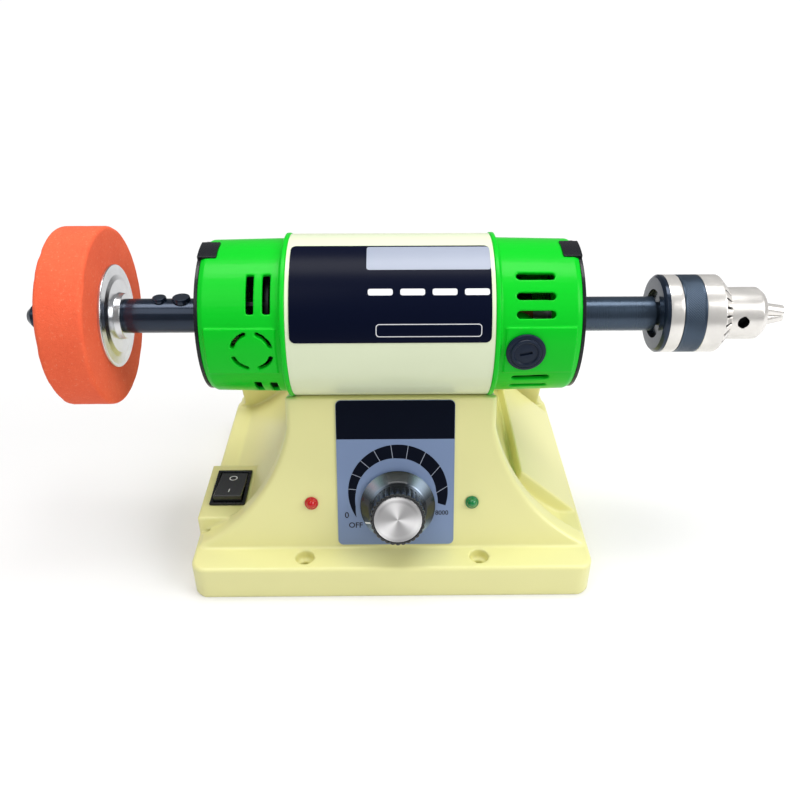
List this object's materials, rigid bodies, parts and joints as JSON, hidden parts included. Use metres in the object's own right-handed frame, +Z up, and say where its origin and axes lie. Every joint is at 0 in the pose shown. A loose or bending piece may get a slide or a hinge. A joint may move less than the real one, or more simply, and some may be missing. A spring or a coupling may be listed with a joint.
{
  "type": "bench polishing lathe",
  "caption": "Bench polishing and grinding machine: lying motor on a moulded base, grinding wheel on the left spindle, keyed chuck on the right, speed knob and rocker switch.",
  "frame": {"origin": "centre of the base's underside, on the surface that it stands on", "axes": "+X along the spindle from the grinding wheel to the drill chuck, -Y towards the operator and the control panel, +Z up"},
  "size_m": [0.4177, 0.1825, 0.194],
  "materials": {
    "cream_plastic": "moulded, satin",
    "cream_paint": "glossy paint",
    "green_plastic": "moulded, glossy",
    "black_plastic": "moulded",
    "gloss_black": "polished",
    "black_steel": "blackened",
    "label_film": "printed film",
    "panel_film": "printed film",
    "abrasive": "bonded grit",
    "zinc_steel": "zinc plated",
    "chuck_steel": "ground and polished",
    "steel": "plain",
    "bearing_steel": "ground",
    "aluminium": "spun",
    "copper": "enamelled wire",
    "brass": "plain",
    "carbon": "graphite",
    "rubber": "matt",
    "board": "laminate",
    "red_lens": "clear tinted",
    "green_lens": "clear tinted",
    "plated_steel": "plated"
  },
  "bodies": {
    "machine": {"base_housing": "cream_plastic", "board_parts": "black_plastic", "board_pillars": "black_plastic", "board_screws": "plated_steel", "bottom_plate": "plated_steel", "brush_caps": "black_plastic", "brush_holders": "brass", "brush_springs": "steel", "cable_gland": "rubber", "carbon_brushes": "carbon", "control_board": "board", "control_plate": "panel_film", "field_coils": "copper", "heat_sink": "aluminium", "label_plate": "label_film", "led_green": "green_lens", "led_red": "red_lens", "left_bearing_outer": "bearing_steel", "left_cover": "green_plastic", "left_end_plate": "black_plastic", "motor_tube": "cream_paint", "mount_screws": "plated_steel", "plate_screws": "plated_steel", "pot_body": "steel", "pot_nut": "brass", "right_bearing_outer": "bearing_steel", "right_cover": "green_plastic", "right_end_plate": "black_plastic", "rubber_feet": "rubber", "stator_core": "steel", "switch_frame": "black_plastic"},
    "rotor": {"motor_shaft": "steel", "armature_core": "steel", "armature_winding": "copper", "commutator": "copper", "cooling_fan": "black_plastic", "left_bearing_inner": "bearing_steel", "right_bearing_inner": "bearing_steel", "left_arbor": "black_steel", "set_screws": "black_steel", "inner_flange": "zinc_steel", "outer_flange": "zinc_steel", "grinding_wheel": "abrasive", "wheel_nut": "black_steel", "right_arbor": "black_steel", "chuck_body": "chuck_steel", "chuck_rear_ring": "black_steel"},
    "chuck_collar": {"chuck_sleeve": "chuck_steel", "grip_band": "black_steel", "nut_ring": "steel"},
    "jaw_1": {"jaw_1": "chuck_steel"},
    "jaw_2": {"jaw_2": "chuck_steel"},
    "jaw_3": {"jaw_3": "chuck_steel"},
    "knob": {"speed_knob": "gloss_black", "knob_cap": "aluminium", "pot_shaft": "aluminium"},
    "rocker": {"rocker": "gloss_black"}
  },
  "joints": [
    {"name": "spindle_spin", "type": "hinge", "parent": "machine", "child": "rotor", "pos_m": [0, -0.018, 0.145], "axis": [1, 0, 0], "continuous": true},
    {"name": "chuck_key_turn", "type": "hinge", "parent": "rotor", "child": "chuck_collar", "pos_m": [0.17, -0.018, 0.145], "axis": [1, 0, 0], "range_deg": [0, 1800]},
    {"name": "speed_knob_turn", "type": "hinge", "parent": "machine", "child": "knob", "pos_m": [0.0034, -0.06384, 0.0468], "axis": [0, -0.9511, 0.309], "range_deg": [-285, 0]},
    {"name": "switch_rock", "type": "hinge", "parent": "machine", "child": "rocker", "pos_m": [-0.0989, -0.0306, 0.0325], "axis": [1, 0, 0], "range_deg": [0, 18]},
    {"name": "jaw_1_slide", "type": "slide", "parent": "rotor", "child": "jaw_1", "axis": [-0.9781, -0.0879, 0.1884], "range_m": [0, 0.016]},
    {"name": "jaw_2_slide", "type": "slide", "parent": "rotor", "child": "jaw_2", "axis": [-0.9781, 0.2071, -0.0181], "range_m": [0, 0.016]},
    {"name": "jaw_3_slide", "type": "slide", "parent": "rotor", "child": "jaw_3", "axis": [-0.9781, -0.1193, -0.1703], "range_m": [0, 0.016]}
  ],
  "couplings": [
    {"joint": "jaw_1_slide", "follows": "chuck_key_turn", "m_per_rad": 0.00050866},
    {"joint": "jaw_2_slide", "follows": "chuck_key_turn", "m_per_rad": 0.00050866},
    {"joint": "jaw_3_slide", "follows": "chuck_key_turn", "m_per_rad": 0.00050866}
  ]
}
